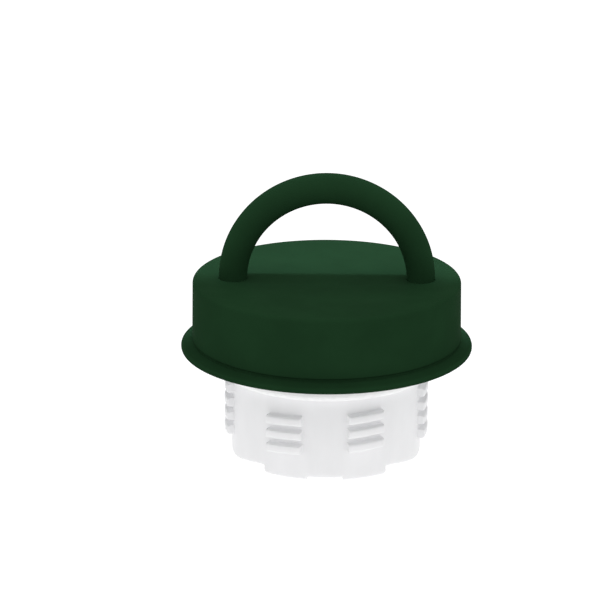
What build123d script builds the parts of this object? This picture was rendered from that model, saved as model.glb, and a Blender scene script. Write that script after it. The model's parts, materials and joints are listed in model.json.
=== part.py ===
"""Screw-in lid for a wide-mouth insulated jar: a green cap with an arched carrying handle and a flange,
and a white insulated plug below it with an interrupted two-start thread.

Millimetres. The origin is the centre of the face that the lid stands on, the bottom of the plug. +Z is up,
and the arch of the handle lies in the XZ plane, so -Y is the side that faces a viewer.
"""

import os
from math import atan, degrees, pi, radians, sin

from build123d import *

# ---------------------------------------------------------------- driving dimensions
flange_radius = 40.0  # rim of the flange that covers the jar's mouth
wall_radius_low = 36.9  # cap wall where it meets the flange
wall_radius_top = 36.75  # cap wall under its top edge
plug_radius = 26.0  # smooth body of the plug
thread_radius = 28.1  # crests of the thread
seat_height = 29.6  # underside of the flange above the bottom of the plug
cap_height = 19.8  # underside of the flange to the top of the cap
handle_radius = 25.7  # centre line of the arch
handle_foot_radius = 3.85  # bar of the handle at its feet
handle_apex_radius = 4.25  # bar of the handle at its top
running_gap = 0.05  # radial room between parts that slip into one another
cut_margin = 1.0  # how far a cutting body stands out past what it cuts
height_tolerance = 0.01  # for picking corners by their height

# ---------------------------------------------------------------- heights that follow from them
top_height = seat_height + cap_height
recess_depth = 1.2  # pocket for the gasket and the plug's neck in the cap's underside
web_low = seat_height + recess_depth
web_thickness = 2.0
web_top = web_low + web_thickness

# ---------------------------------------------------------------- cap shell
flange_rim_thickness = 1.6
flange_root_height = 2.5  # flange's top face at the wall, above its underside
foot_groove_depth = 0.5  # relief groove round the foot of the wall
foot_groove_width = 0.5
flange_root_fillet = 0.2
top_thickness = 2.4
top_edge_radius = 1.0
shell_bore = 33.6  # inside of the wall
socket_depth = 0.4  # shallow pocket that the foot of the handle stands in
socket_gap = 0.12
foot_boss_radius = 5.5
foot_boss_depth = 2.6  # boss under the top round each foot

# ---------------------------------------------------------------- carrier plate
plate_radius = 34.4  # the plate is pushed up into the shell, against a shoulder
web_hole_radius = 16.5
snap_bead = 0.35  # how far the plate's bead stands into its groove in the shell
snap_bead_height = 0.8

# ---------------------------------------------------------------- handle fixings
tenon_radius = 2.6
screw_radius = 1.2
pilot_radius = 1.23
handle_pilot_depth = 9.4
head_radius = 2.7
head_height = 2.0
head_edge_radius = 0.8
drive_radius = 0.9
drive_depth = 1.2
drive_slot_width = 0.54
screw_tip_chamfer = 0.48
washer_radius = 4.0
washer_thickness = 0.6
handle_screw_length = 8.6

# ---------------------------------------------------------------- plug
plug_wall = 2.6
plug_edge_radius = 0.9
rim_wall = 2.0  # wall of the plug's castellated rim
floor_recess = 2.4  # the floor's underside lies this far above the rim
floor_thickness = 2.2
front_notch_height = 0.75
front_notch_corner = 0.4
front_notch_half = 10.9  # half width of the notches at -Y and +Y, degrees
side_notch_height = 2.0
side_notch = (39.5, 47.0, 72.0)  # steep end, start of the ramp and foot of the ramp, degrees from -Y
screw_circle_radius = 20.6
screw_boss_radius = 2.9
screw_boss_depth = 9.0
screw_boss_floor = 1.0  # left under the pilot hole
plug_screw_length = 8.0
plug_screw_count = 4
plug_screw_angle = 45
screw_clearance_radius = 1.6
register_radius = plug_radius - plug_wall - running_gap
register_thickness = 1.2
register_depth = 1.6

# ---------------------------------------------------------------- thread
thread_pitch = 4.0  # from one crest to the next above it
thread_starts = 2
lowest_crest = 7.35  # height of the lowest crest where each start begins, at +X and -X
rib_groups = ((24.5, 11.0, 3), (90.0, 15.0, 4), (155.5, 11.0, 3))  # centre and half width in degrees, ribs
rib_root_half = 1.3  # half the rib's height at the plug's body
rib_crest_half = 1.1  # half the rib's height at its crest
rib_crest_fillet = 0.6
rib_embed = 0.6

# ---------------------------------------------------------------- gasket, floor and insulation
gasket_radius = 29.3
gasket_bottom = 23.5
gasket_groove_radius = 27.7
gasket_lip = 3.2
gasket_groove_width = 1.3
gasket_nose_round = 1.9  # lower outside corner, which leads the ring into the jar's neck
gasket_groove_round = 0.5
bead_radius = 25.2  # bottom of the groove in the plug's neck that holds the gasket
bead_low = 25.2
bead_width = 2.4
floor_radius = plug_radius - rim_wall - running_gap
floor_spigot_depth = 2.8
floor_spigot_wall = 1.4
floor_dish_radius = 19.0
floor_dish_depth = 0.4
floor_edge_radius = 0.4
foam_gap = 0.2
foam_disc_height = 13.6
pocket_gap = 0.6  # room that the foam leaves round screw heads and bosses

thread_lead = thread_pitch * thread_starts
lead_angle = degrees(atan(thread_lead / (2 * pi * thread_radius)))
foot_positions = ((-handle_radius, 0), (handle_radius, 0))


def azimuth(from_front):
    """Angle in the XY plane of a direction given in degrees from -Y towards +X."""
    return from_front - 90


def both_sides(groups):
    """Every group on the +X side and its mirror image on the -X side."""
    return [(side * centre, half, count) for side in (1, -1) for centre, half, count in groups]


def crest_height(from_front):
    """Height of the lowest crest at an angle; each start begins at +X or -X and climbs one lead a turn."""
    past_start = (from_front - 90) % (360 / thread_starts)
    return lowest_crest + thread_lead * past_start / 360


# ================================================================ cap shell
bead_groove = plate_radius + snap_bead + running_gap
bead_bottom = web_low
root_height = seat_height + flange_root_height
foot_groove_radius = wall_radius_low - foot_groove_depth
with BuildPart() as cap_shell:
    with BuildSketch(Plane.XZ) as shell_profile:
        with BuildLine():
            rim_round = flange_rim_thickness / 2
            rim_centre = flange_radius - rim_round
            underside = Line((plate_radius + running_gap, seat_height), (rim_centre, seat_height))
            rim = ThreePointArc(
                underside @ 1,
                (flange_radius, seat_height + rim_round),
                (rim_centre, seat_height + flange_rim_thickness),
            )
            Polyline(
                rim @ 1,
                (foot_groove_radius, root_height),
                (foot_groove_radius, root_height + foot_groove_width),
                (wall_radius_low, root_height + foot_groove_width + foot_groove_depth),
                (wall_radius_top, top_height),
                (0, top_height),
                (0, top_height - top_thickness),
                (shell_bore, top_height - top_thickness),
                (shell_bore, web_top),
                (plate_radius + running_gap, web_top),
                (plate_radius + running_gap, bead_bottom + snap_bead_height + running_gap),
                (bead_groove, bead_bottom + snap_bead_height + running_gap),
                (bead_groove, bead_bottom - running_gap),
                (plate_radius + running_gap, bead_bottom - running_gap),
                underside @ 0,
            )
        make_face()
        outside = shell_profile.vertices().group_by(Axis.Y)[-1].sort_by(Axis.X)[-1]
        fillet(outside, top_edge_radius)
        at_root = (root_height - height_tolerance, root_height + height_tolerance)
        root_corner = shell_profile.vertices().filter_by_position(Axis.Y, *at_root)
        fillet(root_corner.sort_by(Axis.X)[-1], flange_root_fillet)
    revolve(axis=Axis.Z)
    boss_bottom = top_height - top_thickness - foot_boss_depth
    with BuildSketch(Plane.XY.offset(boss_bottom)):
        with Locations(*foot_positions):
            Circle(foot_boss_radius)
    extrude(amount=foot_boss_depth)
    with Locations(*[(x, y, top_height) for x, y in foot_positions]):
        CounterBoreHole(
            tenon_radius + running_gap,
            handle_foot_radius + socket_gap,
            socket_depth,
            depth=top_thickness + foot_boss_depth,
        )
cap_shell.part.label = "cap_shell"

# ================================================================ carrier plate inside the shell
with BuildPart() as carrier_plate:
    with BuildSketch(Plane.XZ):
        with BuildLine():
            Polyline(
                (web_hole_radius, web_top),
                (web_hole_radius, web_low),
                (register_radius - register_thickness, web_low),
                (register_radius - register_thickness, web_low - register_depth),
                (register_radius, web_low - register_depth),
                (register_radius, web_low),
                (gasket_radius + running_gap, web_low),
                (gasket_radius + running_gap, seat_height),
                (plate_radius, seat_height),
                (plate_radius, bead_bottom),
                (plate_radius + snap_bead, bead_bottom),
                (plate_radius + snap_bead, bead_bottom + snap_bead_height),
                (plate_radius, bead_bottom + snap_bead_height),
                (plate_radius, web_top),
                close=True,
            )
        make_face()
    revolve(axis=Axis.Z)
    with PolarLocations(screw_circle_radius, plug_screw_count, start_angle=plug_screw_angle):
        with Locations((0, 0, web_top)):
            Hole(screw_clearance_radius, depth=web_thickness)
carrier_plate.part.label = "carrier_plate"

# ================================================================ carrying handle
socket_floor = top_height - socket_depth
with BuildPart() as carry_handle:
    with BuildLine() as arch:
        ThreePointArc(
            (-handle_radius, 0, top_height),
            (0, 0, top_height + handle_radius),
            (handle_radius, 0, top_height),
        )
    for along, bar_radius in ((0, handle_foot_radius), (0.5, handle_apex_radius), (1, handle_foot_radius)):
        with BuildSketch(Plane(origin=arch.line @ along, x_dir=(0, 1, 0), z_dir=arch.line % along)):
            Circle(bar_radius)
    sweep(path=arch.line, multisection=True)
    with BuildSketch(Plane.XY.offset(socket_floor)):
        with Locations(*foot_positions):
            Circle(handle_foot_radius)
    extrude(amount=socket_depth)
    tenon_bottom = boss_bottom + running_gap
    with BuildSketch(Plane.XY.offset(tenon_bottom)):
        with Locations(*foot_positions):
            Circle(tenon_radius)
    extrude(amount=socket_floor - tenon_bottom)
    with BuildSketch(Plane.XY.offset(tenon_bottom)):
        with Locations(*foot_positions):
            Circle(pilot_radius)
    extrude(amount=handle_pilot_depth, mode=Mode.SUBTRACT)
carry_handle.part.label = "carry_handle"

# ================================================================ washers and screws of the handle
with BuildPart() as handle_washers:
    with BuildSketch(Plane.XY.offset(boss_bottom - washer_thickness)):
        with Locations(*foot_positions):
            Circle(washer_radius)
            Circle(screw_clearance_radius, mode=Mode.SUBTRACT)
    extrude(amount=washer_thickness)
handle_washers.part.label = "handle_washers"


def head_up_screw(length):
    """A pan-head screw with its head's bearing face on the XY plane and its shank towards -Z."""
    with BuildPart() as screw:
        with BuildSketch(Plane.XY):
            Circle(head_radius)
        extrude(amount=head_height)
        fillet(screw.edges().group_by(Axis.Z)[-1], head_edge_radius)
        with BuildSketch(Plane.XY.offset(head_height)):
            Rectangle(2 * drive_radius, drive_slot_width)
            Rectangle(drive_slot_width, 2 * drive_radius)
        extrude(amount=-drive_depth, mode=Mode.SUBTRACT)
        with BuildSketch(Plane.XY):
            Circle(screw_radius)
        extrude(amount=-length)
        chamfer(screw.edges().group_by(Axis.Z)[0], screw_tip_chamfer)
    return screw.part


handle_screw = head_up_screw(handle_screw_length)
with BuildPart() as handle_screws:
    bearing_height = boss_bottom - washer_thickness
    with Locations(*[Location((x, y, bearing_height), (180, 0, 0)) for x, y in foot_positions]):
        add(handle_screw)
handle_screws.part.label = "handle_screws"

# ================================================================ one rib of the thread
def thread_rib(half_width):
    """A rib centred on +X: a ring sector that is tilted into the thread's lead angle when it is placed."""
    flank_slope = (rib_root_half - rib_crest_half) / (thread_radius - plug_radius)
    embedded_half = rib_root_half + flank_slope * rib_embed
    with BuildPart() as rib:
        with BuildSketch(Plane.XZ.rotated((0, 0, -half_width))) as profile:
            Polygon(
                (plug_radius - rib_embed, -embedded_half),
                (thread_radius, -rib_crest_half),
                (thread_radius, rib_crest_half),
                (plug_radius - rib_embed, embedded_half),
                align=None,
            )
            outward = Axis((0, 0, 0), profile.workplanes[0].x_dir)
            fillet(profile.vertices().group_by(outward)[-1], rib_crest_fillet)
        revolve(axis=Axis.Z, revolution_arc=2 * half_width)
    return rib.part


ribs = {half: thread_rib(half) for _, half, _ in rib_groups}

# ================================================================ notches of the castellated rim
rim_radius = plug_radius - rim_wall / 2
notch_middle = (side_notch[0] + side_notch[2]) / 2
steep_end, ramp_start, ramp_foot = [rim_radius * sin(radians(angle - notch_middle)) for angle in side_notch]
side_notches = (  # middle, and which way the ramp runs
    (notch_middle, 1),
    (180 - notch_middle, -1),
    (180 + notch_middle, 1),
    (-notch_middle, -1),
)
with BuildPart() as rim_notches:
    for front in (0, 180):
        with BuildSketch(Plane.XZ.rotated((0, 0, azimuth(front - front_notch_half)))):
            with Locations((plug_radius, 0)):
                Rectangle(2 * rim_wall, 2 * front_notch_height)
        revolve(axis=Axis.Z, revolution_arc=2 * front_notch_half)
    fillet(rim_notches.edges().filter_by(GeomType.LINE).group_by(Axis.Z)[-1], front_notch_corner)
    for from_front, turn in side_notches:
        outward = Vector(1, 0).rotate(Axis.Z, azimuth(from_front))
        across = outward.rotate(Axis.Z, 90)
        with BuildSketch(Plane(outward * (rim_radius - rim_wall), x_dir=across, z_dir=outward)):
            Polygon(
                (turn * steep_end, -side_notch_height),
                (turn * steep_end, side_notch_height),
                (turn * ramp_start, side_notch_height),
                (turn * ramp_foot, 0),
                (turn * ramp_foot, -side_notch_height),
                align=None,
            )
        extrude(amount=2 * rim_wall)

# ================================================================ threaded plug
bore_radius = plug_radius - plug_wall
floor_top = floor_recess + floor_thickness
with BuildPart() as thread_plug:
    with BuildSketch(Plane.XY):
        Circle(plug_radius)
    extrude(amount=web_low)
    fillet(thread_plug.edges().group_by(Axis.Z)[0], plug_edge_radius)
    with BuildSketch(Plane.XY.offset(floor_top)):
        Circle(bore_radius)
    extrude(amount=web_low, mode=Mode.SUBTRACT)
    with BuildSketch(Plane.XY):
        Circle(plug_radius - rim_wall)
    extrude(amount=floor_top, mode=Mode.SUBTRACT)
    with BuildSketch(Plane.XY.offset(bead_low)):
        Circle(plug_radius + cut_margin)
        Circle(bead_radius, mode=Mode.SUBTRACT)
    extrude(amount=bead_width, mode=Mode.SUBTRACT)
    with BuildSketch(Plane.XY.offset(web_low - screw_boss_depth)):
        with PolarLocations(screw_circle_radius, plug_screw_count, start_angle=plug_screw_angle):
            Circle(screw_boss_radius)
            with Locations((screw_boss_radius / 2, 0)):
                Rectangle(screw_boss_radius, 2 * screw_boss_radius)
    extrude(amount=screw_boss_depth - register_depth - running_gap)
    with PolarLocations(screw_circle_radius, plug_screw_count, start_angle=plug_screw_angle):
        with Locations((0, 0, web_low)):
            Hole(pilot_radius, depth=screw_boss_depth - screw_boss_floor)
    add(rim_notches.part, mode=Mode.SUBTRACT)
    for group_angle, group_half, rib_count in both_sides(rib_groups):
        for turn in range(rib_count):
            crest = crest_height(group_angle) + turn * thread_pitch
            with Locations(Location((0, 0, crest), (0, 0, azimuth(group_angle)))):
                with Locations(Location((0, 0, 0), (lead_angle, 0, 0))):
                    add(ribs[group_half])
thread_plug.part.label = "thread_plug"

# ================================================================ floor of the plug
spigot_radius = bore_radius - running_gap
with BuildPart() as plug_floor:
    with BuildSketch(Plane.XY.offset(floor_recess)):
        Circle(floor_radius)
    extrude(amount=floor_thickness)
    fillet(plug_floor.edges().group_by(Axis.Z)[0], floor_edge_radius)
    with BuildSketch(Plane.XY.offset(floor_top)):
        Circle(spigot_radius)
        Circle(spigot_radius - floor_spigot_wall, mode=Mode.SUBTRACT)
    extrude(amount=floor_spigot_depth)
    with BuildSketch(Plane.XY.offset(floor_recess)):
        Circle(floor_dish_radius)
    extrude(amount=floor_dish_depth, mode=Mode.SUBTRACT)
plug_floor.part.label = "plug_floor"

# ================================================================ gasket round the plug's neck
lip_top = gasket_bottom + gasket_lip
groove_top = lip_top + gasket_groove_width
neck_radius = plug_radius + running_gap
with BuildPart() as neck_gasket:
    with BuildSketch(Plane.XZ) as gasket_profile:
        with BuildLine():
            Polyline(
                (neck_radius, gasket_bottom),
                (gasket_radius, gasket_bottom),
                (gasket_radius, lip_top),
                (gasket_groove_radius, lip_top),
                (gasket_groove_radius, groove_top),
                (gasket_radius, groove_top),
                (gasket_radius, web_low),
                (neck_radius, web_low),
                (neck_radius, bead_low + bead_width - running_gap),
                (bead_radius + running_gap, bead_low + bead_width - running_gap),
                (bead_radius + running_gap, bead_low + running_gap),
                (neck_radius, bead_low + running_gap),
                close=True,
            )
        make_face()
        at_groove = (lip_top - height_tolerance, groove_top + height_tolerance)
        groove_corners = gasket_profile.vertices().filter_by_position(Axis.Y, *at_groove)
        fillet(groove_corners.group_by(Axis.X)[-1], gasket_groove_round)
        fillet(gasket_profile.vertices().group_by(Axis.Y)[0].sort_by(Axis.X)[-1], gasket_nose_round)
    revolve(axis=Axis.Z)
neck_gasket.part.label = "neck_gasket"

# ================================================================ insulation in the plug
foam_radius = spigot_radius - floor_spigot_wall - foam_gap
with BuildPart() as plug_insulation:
    with BuildSketch(Plane.XY.offset(floor_top + foam_gap)):
        Circle(foam_radius)
    extrude(amount=web_low - register_depth - floor_top - 2 * foam_gap)
    with BuildSketch(Plane.XY.offset(web_low)):
        with PolarLocations(screw_circle_radius, plug_screw_count, start_angle=plug_screw_angle):
            Circle(screw_boss_radius + pocket_gap)
            with Locations((screw_boss_radius, 0)):
                Rectangle(2 * screw_boss_radius, 2 * (screw_boss_radius + pocket_gap))
    extrude(amount=-screw_boss_depth - pocket_gap, mode=Mode.SUBTRACT)
plug_insulation.part.label = "plug_insulation"

# ================================================================ insulation in the cap
cap_foam_top = web_top + foam_gap + foam_disc_height
screw_head_low = bearing_height - head_height
with BuildPart() as cap_insulation:
    with BuildSketch(Plane.XY.offset(web_top + foam_gap)):
        Circle(shell_bore - foam_gap)
    extrude(amount=foam_disc_height)
    with BuildSketch(Plane.XY.offset(cap_foam_top)):
        with Locations(*foot_positions):
            Circle(foot_boss_radius + pocket_gap)
    extrude(amount=screw_head_low - pocket_gap - cap_foam_top, mode=Mode.SUBTRACT)
    with BuildSketch(Plane.XY.offset(web_top)):
        with PolarLocations(screw_circle_radius, plug_screw_count, start_angle=plug_screw_angle):
            Circle(head_radius + pocket_gap)
    extrude(amount=head_height + pocket_gap, mode=Mode.SUBTRACT)
cap_insulation.part.label = "cap_insulation"

# ================================================================ screws of the plug
plug_screw = head_up_screw(plug_screw_length)
with BuildPart() as plug_screws:
    with PolarLocations(screw_circle_radius, plug_screw_count, start_angle=plug_screw_angle):
        with Locations((0, 0, web_top)):
            add(plug_screw)
plug_screws.part.label = "plug_screws"

pieces = (
    cap_shell,
    carrier_plate,
    carry_handle,
    handle_washers,
    handle_screws,
    thread_plug,
    plug_floor,
    neck_gasket,
    plug_insulation,
    cap_insulation,
    plug_screws,
)
os.makedirs("parts", exist_ok=True)
for piece in pieces:
    export_step(piece.part, f"parts/{piece.part.label}.step")
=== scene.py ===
"""Looks of the screw-in lid: a matt green cap with its arched handle over a white threaded plug.

Everything is in metres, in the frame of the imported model: the origin is the centre of the face that the lid
stands on, +Z is up, the handle's arch lies in the XZ plane and the camera looks from -Y. Angles round the lid
are counted in degrees from -Y towards +X.
"""

import json
import math

import bmesh
import bpy
import numpy as np
from mathutils import Matrix, Vector


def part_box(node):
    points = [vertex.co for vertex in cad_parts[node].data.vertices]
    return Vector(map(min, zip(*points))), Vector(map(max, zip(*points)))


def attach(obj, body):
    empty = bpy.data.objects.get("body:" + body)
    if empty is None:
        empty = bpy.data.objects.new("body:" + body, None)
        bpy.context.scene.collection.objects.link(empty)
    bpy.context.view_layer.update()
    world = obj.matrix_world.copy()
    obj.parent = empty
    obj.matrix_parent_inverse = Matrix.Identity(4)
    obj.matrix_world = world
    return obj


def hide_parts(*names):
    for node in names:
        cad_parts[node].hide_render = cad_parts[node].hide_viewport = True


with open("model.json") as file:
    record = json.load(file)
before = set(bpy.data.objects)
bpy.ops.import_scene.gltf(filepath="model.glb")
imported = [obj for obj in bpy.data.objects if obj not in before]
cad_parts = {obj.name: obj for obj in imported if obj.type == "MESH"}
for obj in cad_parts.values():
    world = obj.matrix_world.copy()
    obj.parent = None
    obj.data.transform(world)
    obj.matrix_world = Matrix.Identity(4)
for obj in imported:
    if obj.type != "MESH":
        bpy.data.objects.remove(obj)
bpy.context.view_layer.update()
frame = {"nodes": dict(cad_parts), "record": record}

MM = 0.001

# ------------------------------------------------------------------ places and sizes
shell_low, shell_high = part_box("cap_shell")
plug_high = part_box("thread_plug")[1]
handle_low, handle_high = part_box("carry_handle")
gasket_low, gasket_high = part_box("neck_gasket")
floor_low, floor_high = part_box("plug_floor")

# shared by several pieces
RUNNING_GAP = 0.05 * MM
EDGE_BREAK = 0.1 * MM  # rounding of a plain moulded edge
CUT_MARGIN = 1 * MM  # how far a cutting solid stands out past what it cuts
SHARP_ANGLE = 38  # degrees between faces, from which their edge is shaded sharp

# cap shell
FLANGE_RADIUS = min(shell_high.x, shell_high.y)
SEAT = shell_low.z
CAP_TOP = shell_high.z
RIM_ROUND = 0.8 * MM  # half the thickness of the flange at its rim
RIM_SHARE = 0.99  # of that rounding, so that the two round corners of the rim don't meet
WALL_LOW, WALL_TOP = 36.9 * MM, 36.75 * MM
ROOT_HEIGHT, ROOT_FILLET, TOP_FILLET = 2.5 * MM, 0.2 * MM, 1.0 * MM
FOOT_GROOVE = 0.5 * MM  # depth and width of the relief groove round the foot of the wall
GROOVE_EDGE_ROUND, GROOVE_CORNER_ROUND = 0.12 * MM, 0.08 * MM
TOP_THICKNESS, SHELL_BORE, PLATE_BORE = 2.4 * MM, 33.6 * MM, 34.45 * MM
SHOULDER = SEAT + 3.2 * MM
BEAD_GROOVE = (34.8 * MM, SEAT + 1.15 * MM, SEAT + 2.05 * MM)  # radius, bottom and top
INSIDE_ROUND = 0.4 * MM
BOSS_DEPTH, BOSS_EMBED, FOOT_BOSS_RADIUS = 2.6 * MM, 0.5 * MM, 5.5 * MM

# plug: its outside is a body with ribs on it, and its lower rim is castellated
BODY_RADIUS = 26.0 * MM
DEGREE = BODY_RADIUS * math.radians(1)  # length of one degree round the body
EDGE_ROUND = 0.9 * MM
BORE_RADIUS = 23.4 * MM
RIM_BORE_RADIUS = floor_high.x + RUNNING_GAP
RIM_BORE_ROUND = 0.2 * MM
FLOOR_TOP = 4.6 * MM
RIB_HEIGHT = plug_high.x - BODY_RADIUS
RIB_HALF = 1.2 * MM
CREST_ROUND = 0.6 * MM
ROOT_ROUND = 0.35 * MM
PITCH = 4.0 * MM
LEAD = 2 * PITCH  # two starts
LOWEST_CREST = 7.35 * MM
HALF_GROUPS = ((24.5, 11, 3), (90, 15, 4), (155.5, 11, 3))  # middle and half width in degrees, ribs
RIB_GROUPS = [(-middle, half, count) for middle, half, count in reversed(HALF_GROUPS)] + list(HALF_GROUPS)
MOST_RIBS = max(count for _, _, count in RIB_GROUPS)
GROUP_MARGIN = 2  # degrees by which the helix runs on past a group
PLAIN_ROWS = (0.05, 0.4, 0.8)  # shares of the plain stretch below the thread, each with a row of points
COLUMN_STEP, LEAST_STEP = 2.0, 0.004  # degrees
FRONT_NOTCH, FRONT_NOTCH_HEIGHT = 10.9, 0.75 * MM
SIDE_NOTCH, SIDE_NOTCH_HEIGHT = (39.5, 47.0, 72.0), 2.0 * MM  # steep end, start and foot of the ramp
NOTCH_ROUND, NOTCH_ROUND_SPAN = 0.2 * MM, 0.5
NOTCH_CORNER = 0.35 * MM
TOOTH_EDGE = ((0.02, 0.2 * MM), (0.25, 0.05 * MM), (0.6, 0))  # degrees in from a tooth's end, height
RAMP_HEAD = ((-2, 0), (1, -0.15 * MM))  # degrees and height from where the ramp starts
RAMP_TAIL = ((-2, 0.15 * MM), (1.5, 0))  # and from its foot
BEAD_LOW, BEAD_HIGH, BEAD_RADIUS = 25.2 * MM, 27.6 * MM, 25.2 * MM
SCREW_CIRCLE, BOSS_RADIUS, PILOT_RADIUS = 20.6 * MM, 2.9 * MM, 1.23 * MM
PLUG_BOSS_LOW, PLUG_BOSS_TOP = plug_high.z - 9 * MM, plug_high.z - 1.65 * MM
PLUG_BOSS_FLOOR = 1 * MM  # left under the pilot hole
PLUG_BOSS_EMBED = 0.6 * MM
PLUG_SCREWS, FIRST_SCREW = 4, 45

# floor of the plug
DISH_RADIUS, DISH_DEPTH = 19.0 * MM, 0.4 * MM
DISH_SLOPE, DISH_ROUND = 0.3 * MM, 0.15 * MM
FLOOR_ROUND = 0.4 * MM
GATE_RADIUS, GATE_FOOT = 1.1 * MM, 1.3 * MM  # stub of the moulding gate
GATE_RECESS, GATE_ROUND = 0.1 * MM, 0.12 * MM
SPIGOT_RADIUS, SPIGOT_WALL, SPIGOT_ROUND = 23.35 * MM, 1.4 * MM, 0.2 * MM

# handle
FOOT_RADIUS = 3.85 * MM
ARCH_RADIUS = handle_high.x - FOOT_RADIUS
APEX_RADIUS = handle_high.z - CAP_TOP - ARCH_RADIUS
TENON_RADIUS = 2.6 * MM
SOCKET_DEPTH, SOCKET_GAP = 0.4 * MM, 0.12 * MM
PILOT_DEPTH, PILOT_END_RADIUS = 9.4 * MM, 0.1 * MM
FOOT_BEVEL = 0.15 * MM
PARTING_DEPTH, PARTING_HALF = 0.045 * MM, 2  # how far the parting line stands out; degrees on each side
PARTING_FADE = 12  # how fast the parting line rises from the feet

# gasket
LIP_HEIGHT = 3.2 * MM
GROOVE_WIDTH = 1.3 * MM
GROOVE_DEPTH = 1.6 * MM
NOSE_ROUND, LIP_ROUND, GROOVE_ROUND = 1.9 * MM, 0.5 * MM, 0.3 * MM


# ------------------------------------------------------------------ camera
def add_camera():
    """The photograph's view: a long lens in front of the lid, looking down at it."""
    elevation, azimuth, roll = math.radians(18.68), math.radians(0.7), math.radians(0.2)
    distance = 1100 * MM
    aim_right, aim_up = -6.02 * MM, 10.75 * MM
    rim_centre = Vector((0, 0, SEAT + RIM_ROUND))
    back = Vector((
        math.cos(elevation) * math.sin(azimuth),
        -math.cos(elevation) * math.cos(azimuth),
        math.sin(elevation),
    ))
    place = rim_centre + back * distance
    upward = Vector((0, math.sin(elevation), math.cos(elevation)))
    aim = rim_centre + Vector((aim_right, 0, 0)) + upward * aim_up
    data = bpy.data.cameras.new("camera")
    data.sensor_width = 36
    data.lens = 236
    data.clip_start, data.clip_end = 0.01, 20
    camera = bpy.data.objects.new("camera", data)
    bpy.context.scene.collection.objects.link(camera)
    turn = (aim - place).to_track_quat("-Z", "Y").to_matrix().to_4x4()
    camera.matrix_world = Matrix.Translation(place) @ turn @ Matrix.Rotation(roll, 4, "Z")
    bpy.context.scene.camera = camera


add_camera()


# ------------------------------------------------------------------ studio
def add_area(name, place, size, power, colour=(1, 1, 1), spread=180):
    """A soft box that faces straight down."""
    data = bpy.data.lights.new(name, "AREA")
    data.shape = "RECTANGLE"
    data.size, data.size_y = size
    data.energy = power
    data.color = colour
    data.spread = math.radians(spread)
    light = bpy.data.objects.new(name, data)
    bpy.context.scene.collection.objects.link(light)
    light.location = place
    light.visible_camera = False


def add_studio():
    """A white light table, a dim sky, a soft box overhead and a narrow beam on the rear half of the cap."""
    world = bpy.data.worlds.new("studio")
    bpy.context.scene.world = world
    world.use_nodes = True
    sky = world.node_tree.nodes["Background"]
    sky.inputs["Color"].default_value = (1, 1, 1, 1)
    sky.inputs["Strength"].default_value = 0.85
    add_area("overhead", place=(0, 0, 0.9), size=(1.0, 1.0), power=3.3)
    strip = {"size": (0.30, 0.10), "power": 0.108, "colour": (0.76, 0.77, 1.0), "spread": 10}
    add_area("rear_strip", place=(0, 0.0508, 0.17), **strip)
    mesh = bpy.data.meshes.new("floor")
    half = 3.0
    corners = [(-half, -half, 0), (half, -half, 0), (half, half, 0), (-half, half, 0)]
    mesh.from_pydata(corners, [], [(0, 1, 2, 3)])
    floor = bpy.data.objects.new("floor", mesh)
    bpy.context.scene.collection.objects.link(floor)
    paint = bpy.data.materials.new("floor_paint")
    paint.use_nodes = True
    shader = paint.node_tree.nodes["Principled BSDF"]
    shader.inputs["Base Color"].default_value = (0.1, 0.1, 0.1, 1)
    shader.inputs["Roughness"].default_value = 0.9
    shader.inputs["Specular IOR Level"].default_value = 0.0
    shader.inputs["Emission Color"].default_value = (1, 1, 1, 1)
    shader.inputs["Emission Strength"].default_value = 1.02
    mesh.materials.append(paint)


add_studio()
bpy.context.scene.view_settings.view_transform = "Standard"


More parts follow.
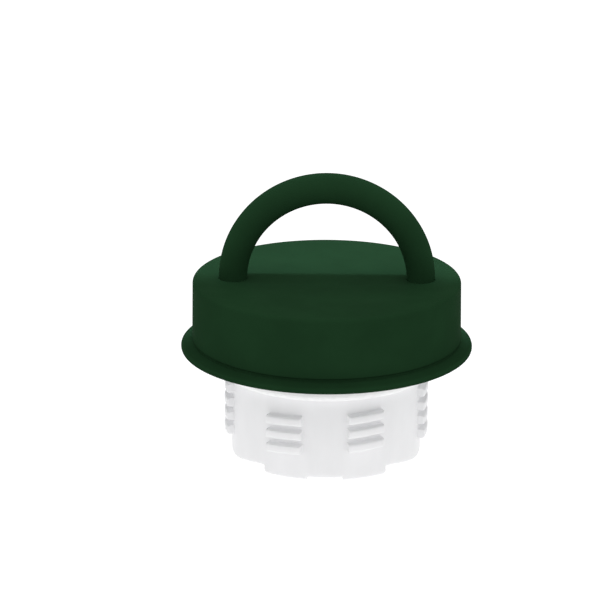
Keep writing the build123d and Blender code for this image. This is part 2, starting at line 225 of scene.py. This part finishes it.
# ------------------------------------------------------------------ materials
class Paint:
    """A material with a Principled shader, and short ways to add nodes to it."""

    def __init__(self, name):
        self.material = bpy.data.materials.new(name)
        self.material.use_nodes = True
        self.tree = self.material.node_tree
        self.shader = self.tree.nodes["Principled BSDF"]
        self.place = self.tree.nodes.new("ShaderNodeTexCoord").outputs["Object"]

    def set(self, **values):
        """Sets inputs of the shader; an underscore stands for a space in an input's name."""
        for name, value in values.items():
            self.shader.inputs[name.replace("_", " ")].default_value = value
        return self

    def link(self, source, target):
        self.tree.links.new(source, target)

    def noise(self, size, detail=4.0, roughness=0.55, stretch=(1, 1, 1)):
        """Noise whose grains are about size metres across."""
        mapping = self.tree.nodes.new("ShaderNodeMapping")
        mapping.inputs["Scale"].default_value = stretch
        self.link(self.place, mapping.inputs["Vector"])
        node = self.tree.nodes.new("ShaderNodeTexNoise")
        node.inputs["Scale"].default_value = 1 / size
        node.inputs["Detail"].default_value = detail
        node.inputs["Roughness"].default_value = roughness
        self.link(mapping.outputs["Vector"], node.inputs["Vector"])
        return node.outputs["Fac"]

    def remap(self, source, low, high, to_low, to_high):
        """The source's range from low to high, carried smoothly over to to_low and to_high."""
        node = self.tree.nodes.new("ShaderNodeMapRange")
        node.interpolation_type = "SMOOTHSTEP"
        for name, value in (("From Min", low), ("From Max", high), ("To Min", to_low), ("To Max", to_high)):
            node.inputs[name].default_value = value
        self.link(source, node.inputs["Value"])
        return node.outputs["Result"]

    def mix(self, factor, first, second):
        """Colour mix; first and second are colours or sockets."""
        node = self.tree.nodes.new("ShaderNodeMix")
        node.data_type = "RGBA"
        self.link(factor, node.inputs["Factor"])
        colours = [socket for socket in node.inputs if socket.type == "RGBA"]
        for socket, value in zip(colours, (first, second)):
            if isinstance(value, tuple):
                socket.default_value = (*value, 1)
            else:
                self.link(value, socket)
        return next(socket for socket in node.outputs if socket.type == "RGBA")

    def edges(self):
        """1 on convex edges, 0 elsewhere."""
        geometry = self.tree.nodes.new("ShaderNodeNewGeometry")
        return self.remap(geometry.outputs["Pointiness"], 0.52, 0.62, 0, 1)

    def times(self, first, second):
        node = self.tree.nodes.new("ShaderNodeMath")
        node.operation = "MULTIPLY"
        for socket, value in zip(node.inputs, (first, second)):
            self.link(value, socket)
        return node.outputs["Value"]

    def bump(self, *layers):
        """Bumps in a chain; each layer is (height socket, depth in metres)."""
        normal = None
        for height, depth in layers:
            node = self.tree.nodes.new("ShaderNodeBump")
            node.inputs["Strength"].default_value = 1.0
            node.inputs["Distance"].default_value = depth
            self.link(height, node.inputs["Height"])
            if normal:
                self.link(normal, node.inputs["Normal"])
            normal = node.outputs["Normal"]
        self.link(normal, self.shader.inputs["Normal"])


def scaled(colour, factor, lift=0.0):
    return tuple(c * factor + lift for c in colour)


def green_plastic(name, base):
    """Matt moulded polypropylene with a fine spark-eroded grain."""
    paint = Paint(name).set(Specular_IOR_Level=0.001)
    worn = scaled(base, 1.35, lift=0.002)
    cloud = paint.remap(paint.noise(14 * MM, detail=3), 0.35, 0.65, 0, 1)
    colour = paint.mix(cloud, scaled(base, 0.95), scaled(base, 1.05))
    scuffed = paint.times(paint.edges(), paint.remap(paint.noise(1.2 * MM), 0.45, 0.7, 0, 0.6))
    paint.link(paint.mix(scuffed, colour, worn), paint.shader.inputs["Base Color"])
    roughness = paint.remap(paint.noise(6 * MM, detail=5), 0.3, 0.7, 0.55, 0.65)
    paint.link(roughness, paint.shader.inputs["Roughness"])
    paint.bump((paint.noise(0.22 * MM, detail=2), 0.012 * MM), (paint.noise(9 * MM, detail=1), 0.01 * MM))
    return paint.material


def white_plastic(name, base):
    """Satin moulded polypropylene, slightly translucent, with faint flow marks."""
    paint = Paint(name).set(Specular_IOR_Level=0.2, Subsurface_Weight=0.2, Subsurface_Scale=1.0 * MM)
    paint.shader.inputs["Subsurface Radius"].default_value = (1.0, 1.0, 1.0)
    flow = paint.remap(paint.noise(5 * MM, detail=3, stretch=(1, 1, 0.35)), 0.35, 0.65, 0, 1)
    paint.link(paint.mix(flow, scaled(base, 0.98), base), paint.shader.inputs["Base Color"])
    paint.link(paint.remap(paint.noise(3 * MM), 0.3, 0.7, 0.42, 0.54), paint.shader.inputs["Roughness"])
    paint.bump((paint.noise(0.3 * MM, detail=2), 0.005 * MM), (paint.noise(7 * MM, detail=1), 0.012 * MM))
    return paint.material


def silicone(name, base):
    """Soft white silicone rubber with a dusty bloom."""
    paint = Paint(name).set(Specular_IOR_Level=0.35, Subsurface_Weight=0.4, Subsurface_Scale=2 * MM)
    paint.shader.inputs["Subsurface Radius"].default_value = (1.0, 1.0, 1.0)
    bloom = paint.remap(paint.noise(2 * MM, detail=6), 0.4, 0.65, 0, 1)
    paint.link(paint.mix(bloom, base, scaled(base, 0.95)), paint.shader.inputs["Base Color"])
    paint.link(paint.remap(paint.noise(1 * MM), 0.3, 0.7, 0.45, 0.6), paint.shader.inputs["Roughness"])
    paint.bump((paint.noise(0.5 * MM, detail=3), 0.01 * MM))
    return paint.material


def foam(name, base):
    """Closed-cell foam: a cell pattern cut open on every face."""
    paint = Paint(name).set(Specular_IOR_Level=0.2, Roughness=0.85)
    cells = paint.tree.nodes.new("ShaderNodeTexVoronoi")
    cells.inputs["Scale"].default_value = 1 / (0.9 * MM)
    paint.link(paint.place, cells.inputs["Vector"])
    wall = paint.remap(cells.outputs["Distance"], 0.1, 0.6, 0, 1)
    paint.link(paint.mix(wall, scaled(base, 0.8), base), paint.shader.inputs["Base Color"])
    paint.bump((wall, 0.15 * MM))
    return paint.material


def screw_steel(name, base):
    """Stainless steel with fine turning marks and stains."""
    paint = Paint(name).set(Metallic=1.0)
    stain = paint.remap(paint.noise(1.5 * MM, detail=5), 0.4, 0.7, 0, 1)
    paint.link(paint.mix(stain, base, scaled(base, 0.7)), paint.shader.inputs["Base Color"])
    paint.link(paint.remap(paint.noise(0.4 * MM), 0.3, 0.7, 0.25, 0.45), paint.shader.inputs["Roughness"])
    paint.bump((paint.noise(0.15 * MM, stretch=(1, 1, 4)), 0.004 * MM))
    return paint.material


GREEN = (0.0100, 0.0330, 0.0132)
WHITE = (0.865, 0.865, 0.876)
materials = {
    "cap": green_plastic("cap_plastic", GREEN),
    "handle": green_plastic("handle_plastic", GREEN),
    "plug": white_plastic("plug_plastic", WHITE),
    "gasket": silicone("gasket_silicone", (0.94, 0.94, 0.95)),
    "foam": foam("insulation_foam", (0.85, 0.85, 0.83)),
    "fasteners": screw_steel("screw_steel", (0.62, 0.61, 0.60)),
}
for subpart in frame["record"]["subparts"]:
    node = frame["nodes"][subpart["node"]]
    node.data.materials.clear()
    node.data.materials.append(materials[subpart["material_slot"]])


# ------------------------------------------------------------------ meshes
def add_piece(name, mesh, slot, *nodes):
    """Links a finished mesh as a piece that stands for CAD nodes and takes the look of a material slot."""
    mesh.materials.append(materials[slot])
    for polygon in mesh.polygons:
        polygon.use_smooth = True
    mesh.set_sharp_from_angle(angle=math.radians(SHARP_ANGLE))
    piece = bpy.data.objects.new(name, mesh)
    bpy.context.scene.collection.objects.link(piece)
    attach(piece, "root")
    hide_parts(*nodes)


def rings_to_bmesh(bm, rings, closed):
    """Quads between rings of points. If closed, the last ring joins the first; if not, both are capped."""
    rows = [[bm.verts.new(point) for point in ring] for ring in rings]
    pairs = list(zip(rows, rows[1:])) + ([(rows[-1], rows[0])] if closed else [])
    for first, second in pairs:
        for i in range(len(first)):
            j = (i + 1) % len(first)
            bm.faces.new((first[i], first[j], second[j], second[i]))
    if not closed:
        bm.faces.new(rows[0])
        bm.faces.new(reversed(rows[-1]))


def finish_mesh(name, bm):
    """A mesh with its doubled points joined, which takes away the faces of no area between them."""
    bmesh.ops.remove_doubles(bm, verts=bm.verts, dist=0.0001 * MM)
    bmesh.ops.recalc_face_normals(bm, faces=bm.faces)
    mesh = bpy.data.meshes.new(name)
    bm.to_mesh(mesh)
    bm.free()
    return mesh


def around(angles, profile):
    """Rings for a turned piece: profile(angle) gives (radius, height) points, as many at every angle."""
    rings = []
    for angle in angles:
        s, c = math.sin(math.radians(angle)), -math.cos(math.radians(angle))
        rings.append([(r * s, r * c, z) for r, z in profile(angle)])
    return rings


def arc(centre, radius, start, end, count):
    """Points on an arc in the (radius, height) plane, from start to end degrees."""
    turns = [math.radians(start + (end - start) * i / (count - 1)) for i in range(count)]
    return [(centre[0] + radius * math.cos(t), centre[1] + radius * math.sin(t)) for t in turns]


def rounded(corners, steps=7, support=0.12 * MM):
    """Points of an outline of (radius, height, rounding) corners, with a support point beside each arc."""
    points = []
    for i, (r, z, rounding) in enumerate(corners):
        here = Vector((r, z))
        if not rounding:
            points.append((r, z))
            continue
        before = (Vector(corners[i - 1][:2]) - here).normalized()
        after = (Vector(corners[(i + 1) % len(corners)][:2]) - here).normalized()
        half = before.angle(after) / 2
        reach = rounding / math.tan(half)
        centre = here + (before + after).normalized() * (rounding / math.sin(half))
        first, last = here + before * reach - centre, here + after * reach - centre
        points.append(tuple(centre + first + before * support))
        for step in range(steps):
            share = step / (steps - 1)
            points.append(tuple(centre + (first * (1 - share) + last * share).normalized() * rounding))
        points.append(tuple(centre + last + after * support))
    return points


def turned(corners, columns=240):
    """A closed mesh turned from rounded corners; corners on the axis meet in one point."""
    points = rounded(corners)
    bm = bmesh.new()
    angles = [360 * (i + 0.5) / columns for i in range(columns)]
    rings_to_bmesh(bm, around(angles, lambda angle: points), closed=True)
    return bm


def combine(name, body, operation, tool_rings):
    """The mesh left by adding solids to a body or taking them off; each is a capped stack of rings."""
    bm = bmesh.new()
    for rings in tool_rings:
        rings_to_bmesh(bm, rings, closed=False)
    parts = []
    for mesh in (body, finish_mesh("tools", bm)):
        parts.append(bpy.data.objects.new(mesh.name, mesh))
        bpy.context.scene.collection.objects.link(parts[-1])
    change = parts[0].modifiers.new("change", "BOOLEAN")
    change.object, change.operation, change.solver = parts[1], operation, "EXACT"
    result = bpy.data.meshes.new_from_object(parts[0].evaluated_get(bpy.context.evaluated_depsgraph_get()))
    result.name = name
    for part in parts:
        bpy.data.objects.remove(part)
    return result


def stack(x, steps, columns=96):
    """Rings round a vertical line at x, one for each (radius, height)."""
    turns = [2 * math.pi * i / columns for i in range(columns)]
    return [[(x + r * math.cos(t), r * math.sin(t), z) for t in turns] for r, z in steps]


# ------------------------------------------------------------------ cap shell
def make_cap_shell():
    """The cap turned in one piece, with a boss and a stepped hole for each foot of the handle."""
    inside_top = CAP_TOP - TOP_THICKNESS
    groove_radius, groove_low, groove_high = BEAD_GROOVE
    body = finish_mesh("cap_body", turned([
        (0, CAP_TOP, 0),
        (WALL_TOP * 0.5, CAP_TOP, 0),
        (WALL_TOP, CAP_TOP, TOP_FILLET),
        (WALL_LOW, SEAT + ROOT_HEIGHT + 2 * FOOT_GROOVE, GROOVE_EDGE_ROUND),
        (WALL_LOW - FOOT_GROOVE, SEAT + ROOT_HEIGHT + FOOT_GROOVE, GROOVE_CORNER_ROUND),
        (WALL_LOW - FOOT_GROOVE, SEAT + ROOT_HEIGHT, ROOT_FILLET),
        (FLANGE_RADIUS, SEAT + 2 * RIM_ROUND, RIM_ROUND * RIM_SHARE),
        (FLANGE_RADIUS, SEAT, RIM_ROUND * RIM_SHARE),
        (PLATE_BORE, SEAT, EDGE_BREAK),
        (PLATE_BORE, groove_low, 0),
        (groove_radius, groove_low, 0),
        (groove_radius, groove_high, 0),
        (PLATE_BORE, groove_high, 0),
        (PLATE_BORE, SHOULDER, 0),
        (SHELL_BORE, SHOULDER, 0),
        (SHELL_BORE, inside_top, INSIDE_ROUND),
        (0, inside_top, 0),
    ]))
    feet = (-ARCH_RADIUS, ARCH_RADIUS)
    boss_low, socket_floor = inside_top - BOSS_DEPTH, CAP_TOP - SOCKET_DEPTH
    boss = [(FOOT_BOSS_RADIUS, boss_low), (FOOT_BOSS_RADIUS, inside_top + BOSS_EMBED)]
    body = combine("cap_body", body, "UNION", [stack(x, boss) for x in feet])
    hole_radius, socket_radius = TENON_RADIUS + RUNNING_GAP, FOOT_RADIUS + SOCKET_GAP
    hole = [
        (hole_radius, boss_low - CUT_MARGIN),
        (hole_radius, socket_floor),
        (socket_radius, socket_floor),
        (socket_radius, CAP_TOP + CUT_MARGIN),
    ]
    cover = combine("cap_cover", body, "DIFFERENCE", [stack(x, hole) for x in feet])
    add_piece("cap_cover", cover, "cap", "cap_shell")


# ------------------------------------------------------------------ plug
def ledge(height, steps=5):
    """(offset, height) points up one side of a rib: root fillet, flank and rounded edge of the crest."""
    root = arc((-ROOT_ROUND, ROOT_ROUND), ROOT_ROUND, -90, 0, steps)
    edge = arc((CREST_ROUND, height - CREST_ROUND), CREST_ROUND, 180, 90, steps)
    return root + edge


def rib_rows():
    """(height from the rib's middle, share of the rib's full height) up across a rib."""
    lower = [(offset - RIB_HALF, rise / RIB_HEIGHT) for offset, rise in ledge(RIB_HEIGHT)]
    return lower + [(-offset, share) for offset, share in reversed(lower)]


def rib_share(angle, rib):
    """The share of its full height that a rib has at an angle: 0 between groups, rounded at its ends."""
    steps = ledge(RIB_HEIGHT)
    for middle, half, count in RIB_GROUPS:
        inside = (half - abs((angle - middle + 180) % 360 - 180)) * DEGREE
        if inside > -2 * ROOT_ROUND and rib < count:
            return float(np.interp(inside, [s[0] for s in steps], [s[1] / RIB_HEIGHT for s in steps]))
    return 0.0


def crest_line():
    """Angles and heights of the lowest crest: a helix along each group, and a slope from group to group."""
    angles, heights = [], []
    for turn in (-360, 0, 360):
        for middle, half, _ in RIB_GROUPS:
            start = LOWEST_CREST + LEAD * ((middle - 90) % 180) / 360
            for offset in (-half - GROUP_MARGIN, half + GROUP_MARGIN):
                angles.append(middle + offset + turn)
                heights.append(start + LEAD * offset / 360)
    return angles, heights


def rim_line():
    """(angle from the nearest of -Y and +Y, height) of the castellated rim, from there to +X or -X."""
    steep_end, ramp_start, ramp_foot = SIDE_NOTCH
    points = [(0, FRONT_NOTCH_HEIGHT)]
    for turn in np.linspace(0, math.pi / 2, 4):
        angle = FRONT_NOTCH - NOTCH_CORNER / DEGREE * (1 - math.sin(turn))
        points.append((angle, FRONT_NOTCH_HEIGHT - NOTCH_CORNER * (1 - math.cos(turn))))
    points += [(FRONT_NOTCH + inward, height) for inward, height in TOOTH_EDGE]
    points += [(steep_end - inward, height) for inward, height in reversed(TOOTH_EDGE)]
    points.append((steep_end, SIDE_NOTCH_HEIGHT - NOTCH_ROUND))
    points.append((steep_end + NOTCH_ROUND_SPAN, SIDE_NOTCH_HEIGHT))
    points += [(ramp_start + along, SIDE_NOTCH_HEIGHT + rise) for along, rise in RAMP_HEAD]
    points += [(ramp_foot + along, rise) for along, rise in RAMP_TAIL]
    return points + [(90, 0)]


def plug_angles(rim):
    """Every angle where the plug's outline needs a column of points."""
    angles = set(np.arange(-180, 180, COLUMN_STEP))
    for middle, half, _ in RIB_GROUPS:
        for offset, _ in ledge(RIB_HEIGHT):
            angles.update((middle - half + offset / DEGREE, middle + half - offset / DEGREE))
    for angle, _ in rim:
        angles.update((angle, -angle, 180 - angle, angle - 180))
    kept = []
    for angle in sorted(angles):
        if -180 <= angle < 180 and (not kept or angle - kept[-1] > LEAST_STEP):
            kept.append(angle)
    return kept


def boss_rings():
    """A screw boss on +X: half round towards the axis, and straight from there into the plug's wall."""
    outer = BORE_RADIUS + PLUG_BOSS_EMBED
    turns = [math.radians(90 + 10 * step) for step in range(19)]
    outline = [(SCREW_CIRCLE + BOSS_RADIUS * math.cos(t), BOSS_RADIUS * math.sin(t)) for t in turns]
    outline += [(outer, -BOSS_RADIUS), (outer, BOSS_RADIUS)]
    return [[Vector((x, y, z)) for x, y in outline] for z in (PLUG_BOSS_LOW, PLUG_BOSS_TOP)]


def pilot_rings():
    """The blind hole in the boss on +X, standing out past its top."""
    low, high = PLUG_BOSS_LOW + PLUG_BOSS_FLOOR, PLUG_BOSS_TOP + CUT_MARGIN
    return stack(SCREW_CIRCLE, [(PILOT_RADIUS, low), (PILOT_RADIUS, high)], columns=36)


def make_plug():
    """The plug: a turned body whose outline follows the rim and the ribs, with four screw bosses inside."""
    rim = rim_line()
    crest_angles, crest_heights = crest_line()
    rows = rib_rows()

    def profile(angle):
        from_end = abs(angle) if abs(angle) <= 90 else 180 - abs(angle)
        bottom = float(np.interp(from_end, [a for a, _ in rim], [z for _, z in rim]))
        crest = float(np.interp(angle, crest_angles, crest_heights))
        points = arc((BODY_RADIUS - EDGE_ROUND, bottom + EDGE_ROUND), EDGE_ROUND, -90, 0, 7)
        plain_low, plain_high = bottom + EDGE_ROUND, crest + rows[0][0]
        points += [(BODY_RADIUS, plain_low + (plain_high - plain_low) * share) for share in PLAIN_ROWS]
        for rib in range(MOST_RIBS):
            height = rib_share(angle, rib) * RIB_HEIGHT
            points += [(BODY_RADIUS + height * share, crest + rib * PITCH + rise) for rise, share in rows]
        points += [(BODY_RADIUS, BEAD_LOW), (BEAD_RADIUS, BEAD_LOW), (BEAD_RADIUS, BEAD_HIGH)]
        points += [(BODY_RADIUS, BEAD_HIGH), (BODY_RADIUS, plug_high.z), (BORE_RADIUS, plug_high.z)]
        points += [(BORE_RADIUS, FLOOR_TOP), (RIM_BORE_RADIUS, FLOOR_TOP)]
        edge = (RIM_BORE_RADIUS + RIM_BORE_ROUND, bottom + RIM_BORE_ROUND)
        points += arc(edge, RIM_BORE_ROUND, 180, 270, 3)
        return points

    bm = bmesh.new()
    rings_to_bmesh(bm, around(plug_angles(rim), profile), closed=True)
    body = finish_mesh("plug_body", bm)
    bosses, pilots = [], []
    for screw in range(PLUG_SCREWS):
        turn = Matrix.Rotation(math.radians(FIRST_SCREW + 360 * screw / PLUG_SCREWS), 3, "Z")
        bosses.append([[turn @ point for point in ring] for ring in boss_rings()])
        pilots.append([[turn @ Vector(point) for point in ring] for ring in pilot_rings()])
    body = combine("plug_body", combine("plug_body", body, "UNION", bosses), "DIFFERENCE", pilots)
    add_piece("plug_body", body, "plug", "thread_plug")


def make_floor():
    """The welded floor: a shallow dish with the stub of its gate, and a spigot in the plug's bore."""
    low, radius = floor_low.z, floor_high.x
    dish = low + DISH_DEPTH
    bm = turned([
        (0, low + GATE_RECESS, 0),
        (GATE_RADIUS, low + GATE_RECESS, GATE_ROUND),
        (GATE_FOOT, dish, EDGE_BREAK),
        (DISH_RADIUS, dish, DISH_ROUND),
        (DISH_RADIUS + DISH_SLOPE, low, DISH_ROUND),
        (radius, low, FLOOR_ROUND),
        (radius, FLOOR_TOP, EDGE_BREAK),
        (SPIGOT_RADIUS, FLOOR_TOP, 0),
        (SPIGOT_RADIUS, floor_high.z, SPIGOT_ROUND),
        (SPIGOT_RADIUS - SPIGOT_WALL, floor_high.z, SPIGOT_ROUND),
        (SPIGOT_RADIUS - SPIGOT_WALL, FLOOR_TOP, SPIGOT_ROUND),
        (0, FLOOR_TOP, 0),
    ])
    add_piece("floor_disc", finish_mesh("floor_disc", bm), "plug", "plug_floor")


# ------------------------------------------------------------------ gasket
def make_gasket():
    """A sealing ring with two soft lips, seated on a bead in the plug's neck."""
    inner, outer = BODY_RADIUS + RUNNING_GAP, gasket_high.x
    low, high = gasket_low.z, gasket_high.z
    groove_low, groove_high = low + LIP_HEIGHT, low + LIP_HEIGHT + GROOVE_WIDTH
    bead_low, bead_high = BEAD_LOW + RUNNING_GAP, BEAD_HIGH - RUNNING_GAP
    bead_radius = BEAD_RADIUS + RUNNING_GAP
    bm = turned([
        (inner, low, EDGE_BREAK),
        (outer, low, NOSE_ROUND),
        (outer, groove_low, LIP_ROUND),
        (outer - GROOVE_DEPTH, groove_low, GROOVE_ROUND),
        (outer - GROOVE_DEPTH, groove_high, GROOVE_ROUND),
        (outer, groove_high, LIP_ROUND),
        (outer, high, EDGE_BREAK),
        (inner, high, 0),
        (inner, bead_high, 0),
        (bead_radius, bead_high, 0),
        (bead_radius, bead_low, 0),
        (inner, bead_low, 0),
    ])
    add_piece("neck_seal", finish_mesh("neck_seal", bm), "gasket", "neck_gasket")


# ------------------------------------------------------------------ handle
def make_handle():
    """The arch, with the faint parting line of its mould, and a stepped tenon at each foot."""
    near_line = {(line + offset) % 360 for line in (0, 180) for offset in (-2, -1, 1, 2)}
    sides = [math.radians(side) for side in sorted(near_line | set(range(0, 360, 6)))]

    def section(centre, outward, radius, line_share):
        """A ring round the bar; outward points away from the arch's centre, where the parting line runs."""
        points = []
        for side in sides:
            line = max(0.0, 1 - abs(math.sin(side)) / math.sin(math.radians(PARTING_HALF)))
            reach = radius - PARTING_DEPTH * line_share * (1 - line)
            points.append(centre + (outward * math.cos(side) + Vector((0, 1, 0)) * math.sin(side)) * reach)
        return points

    def foot(side):
        """Rings from the tip of one tenon up to the foot of the arch."""
        x, outward = side * ARCH_RADIUS, Vector((side, 0, 0))
        floor, tip = CAP_TOP - SOCKET_DEPTH, handle_low.z
        pilot_end = tip + PILOT_DEPTH
        steps = [(PILOT_END_RADIUS, pilot_end), (PILOT_RADIUS, pilot_end), (PILOT_RADIUS, tip)]
        steps += [(TENON_RADIUS, tip), (TENON_RADIUS, floor), (FOOT_RADIUS - FOOT_BEVEL, floor)]
        steps += [(FOOT_RADIUS, floor + FOOT_BEVEL), (FOOT_RADIUS, CAP_TOP)]
        return [section(Vector((x, 0, z)), outward, radius, 0) for radius, z in steps]

    rings = foot(1)
    count = 120
    for i in range(1, count):
        turn = math.pi * i / count
        outward = Vector((math.cos(turn), 0, math.sin(turn)))
        radius = FOOT_RADIUS + (APEX_RADIUS - FOOT_RADIUS) * math.sin(turn)
        centre = Vector((0, 0, CAP_TOP)) + outward * ARCH_RADIUS
        rings.append(section(centre, outward, radius, min(1, PARTING_FADE * math.sin(turn))))
    rings += reversed(foot(-1))
    bm = bmesh.new()
    rings_to_bmesh(bm, rings, closed=False)
    add_piece("handle_arch", finish_mesh("handle_arch", bm), "handle", "carry_handle")


make_cap_shell()
make_plug()
make_floor()
make_gasket()
make_handle()
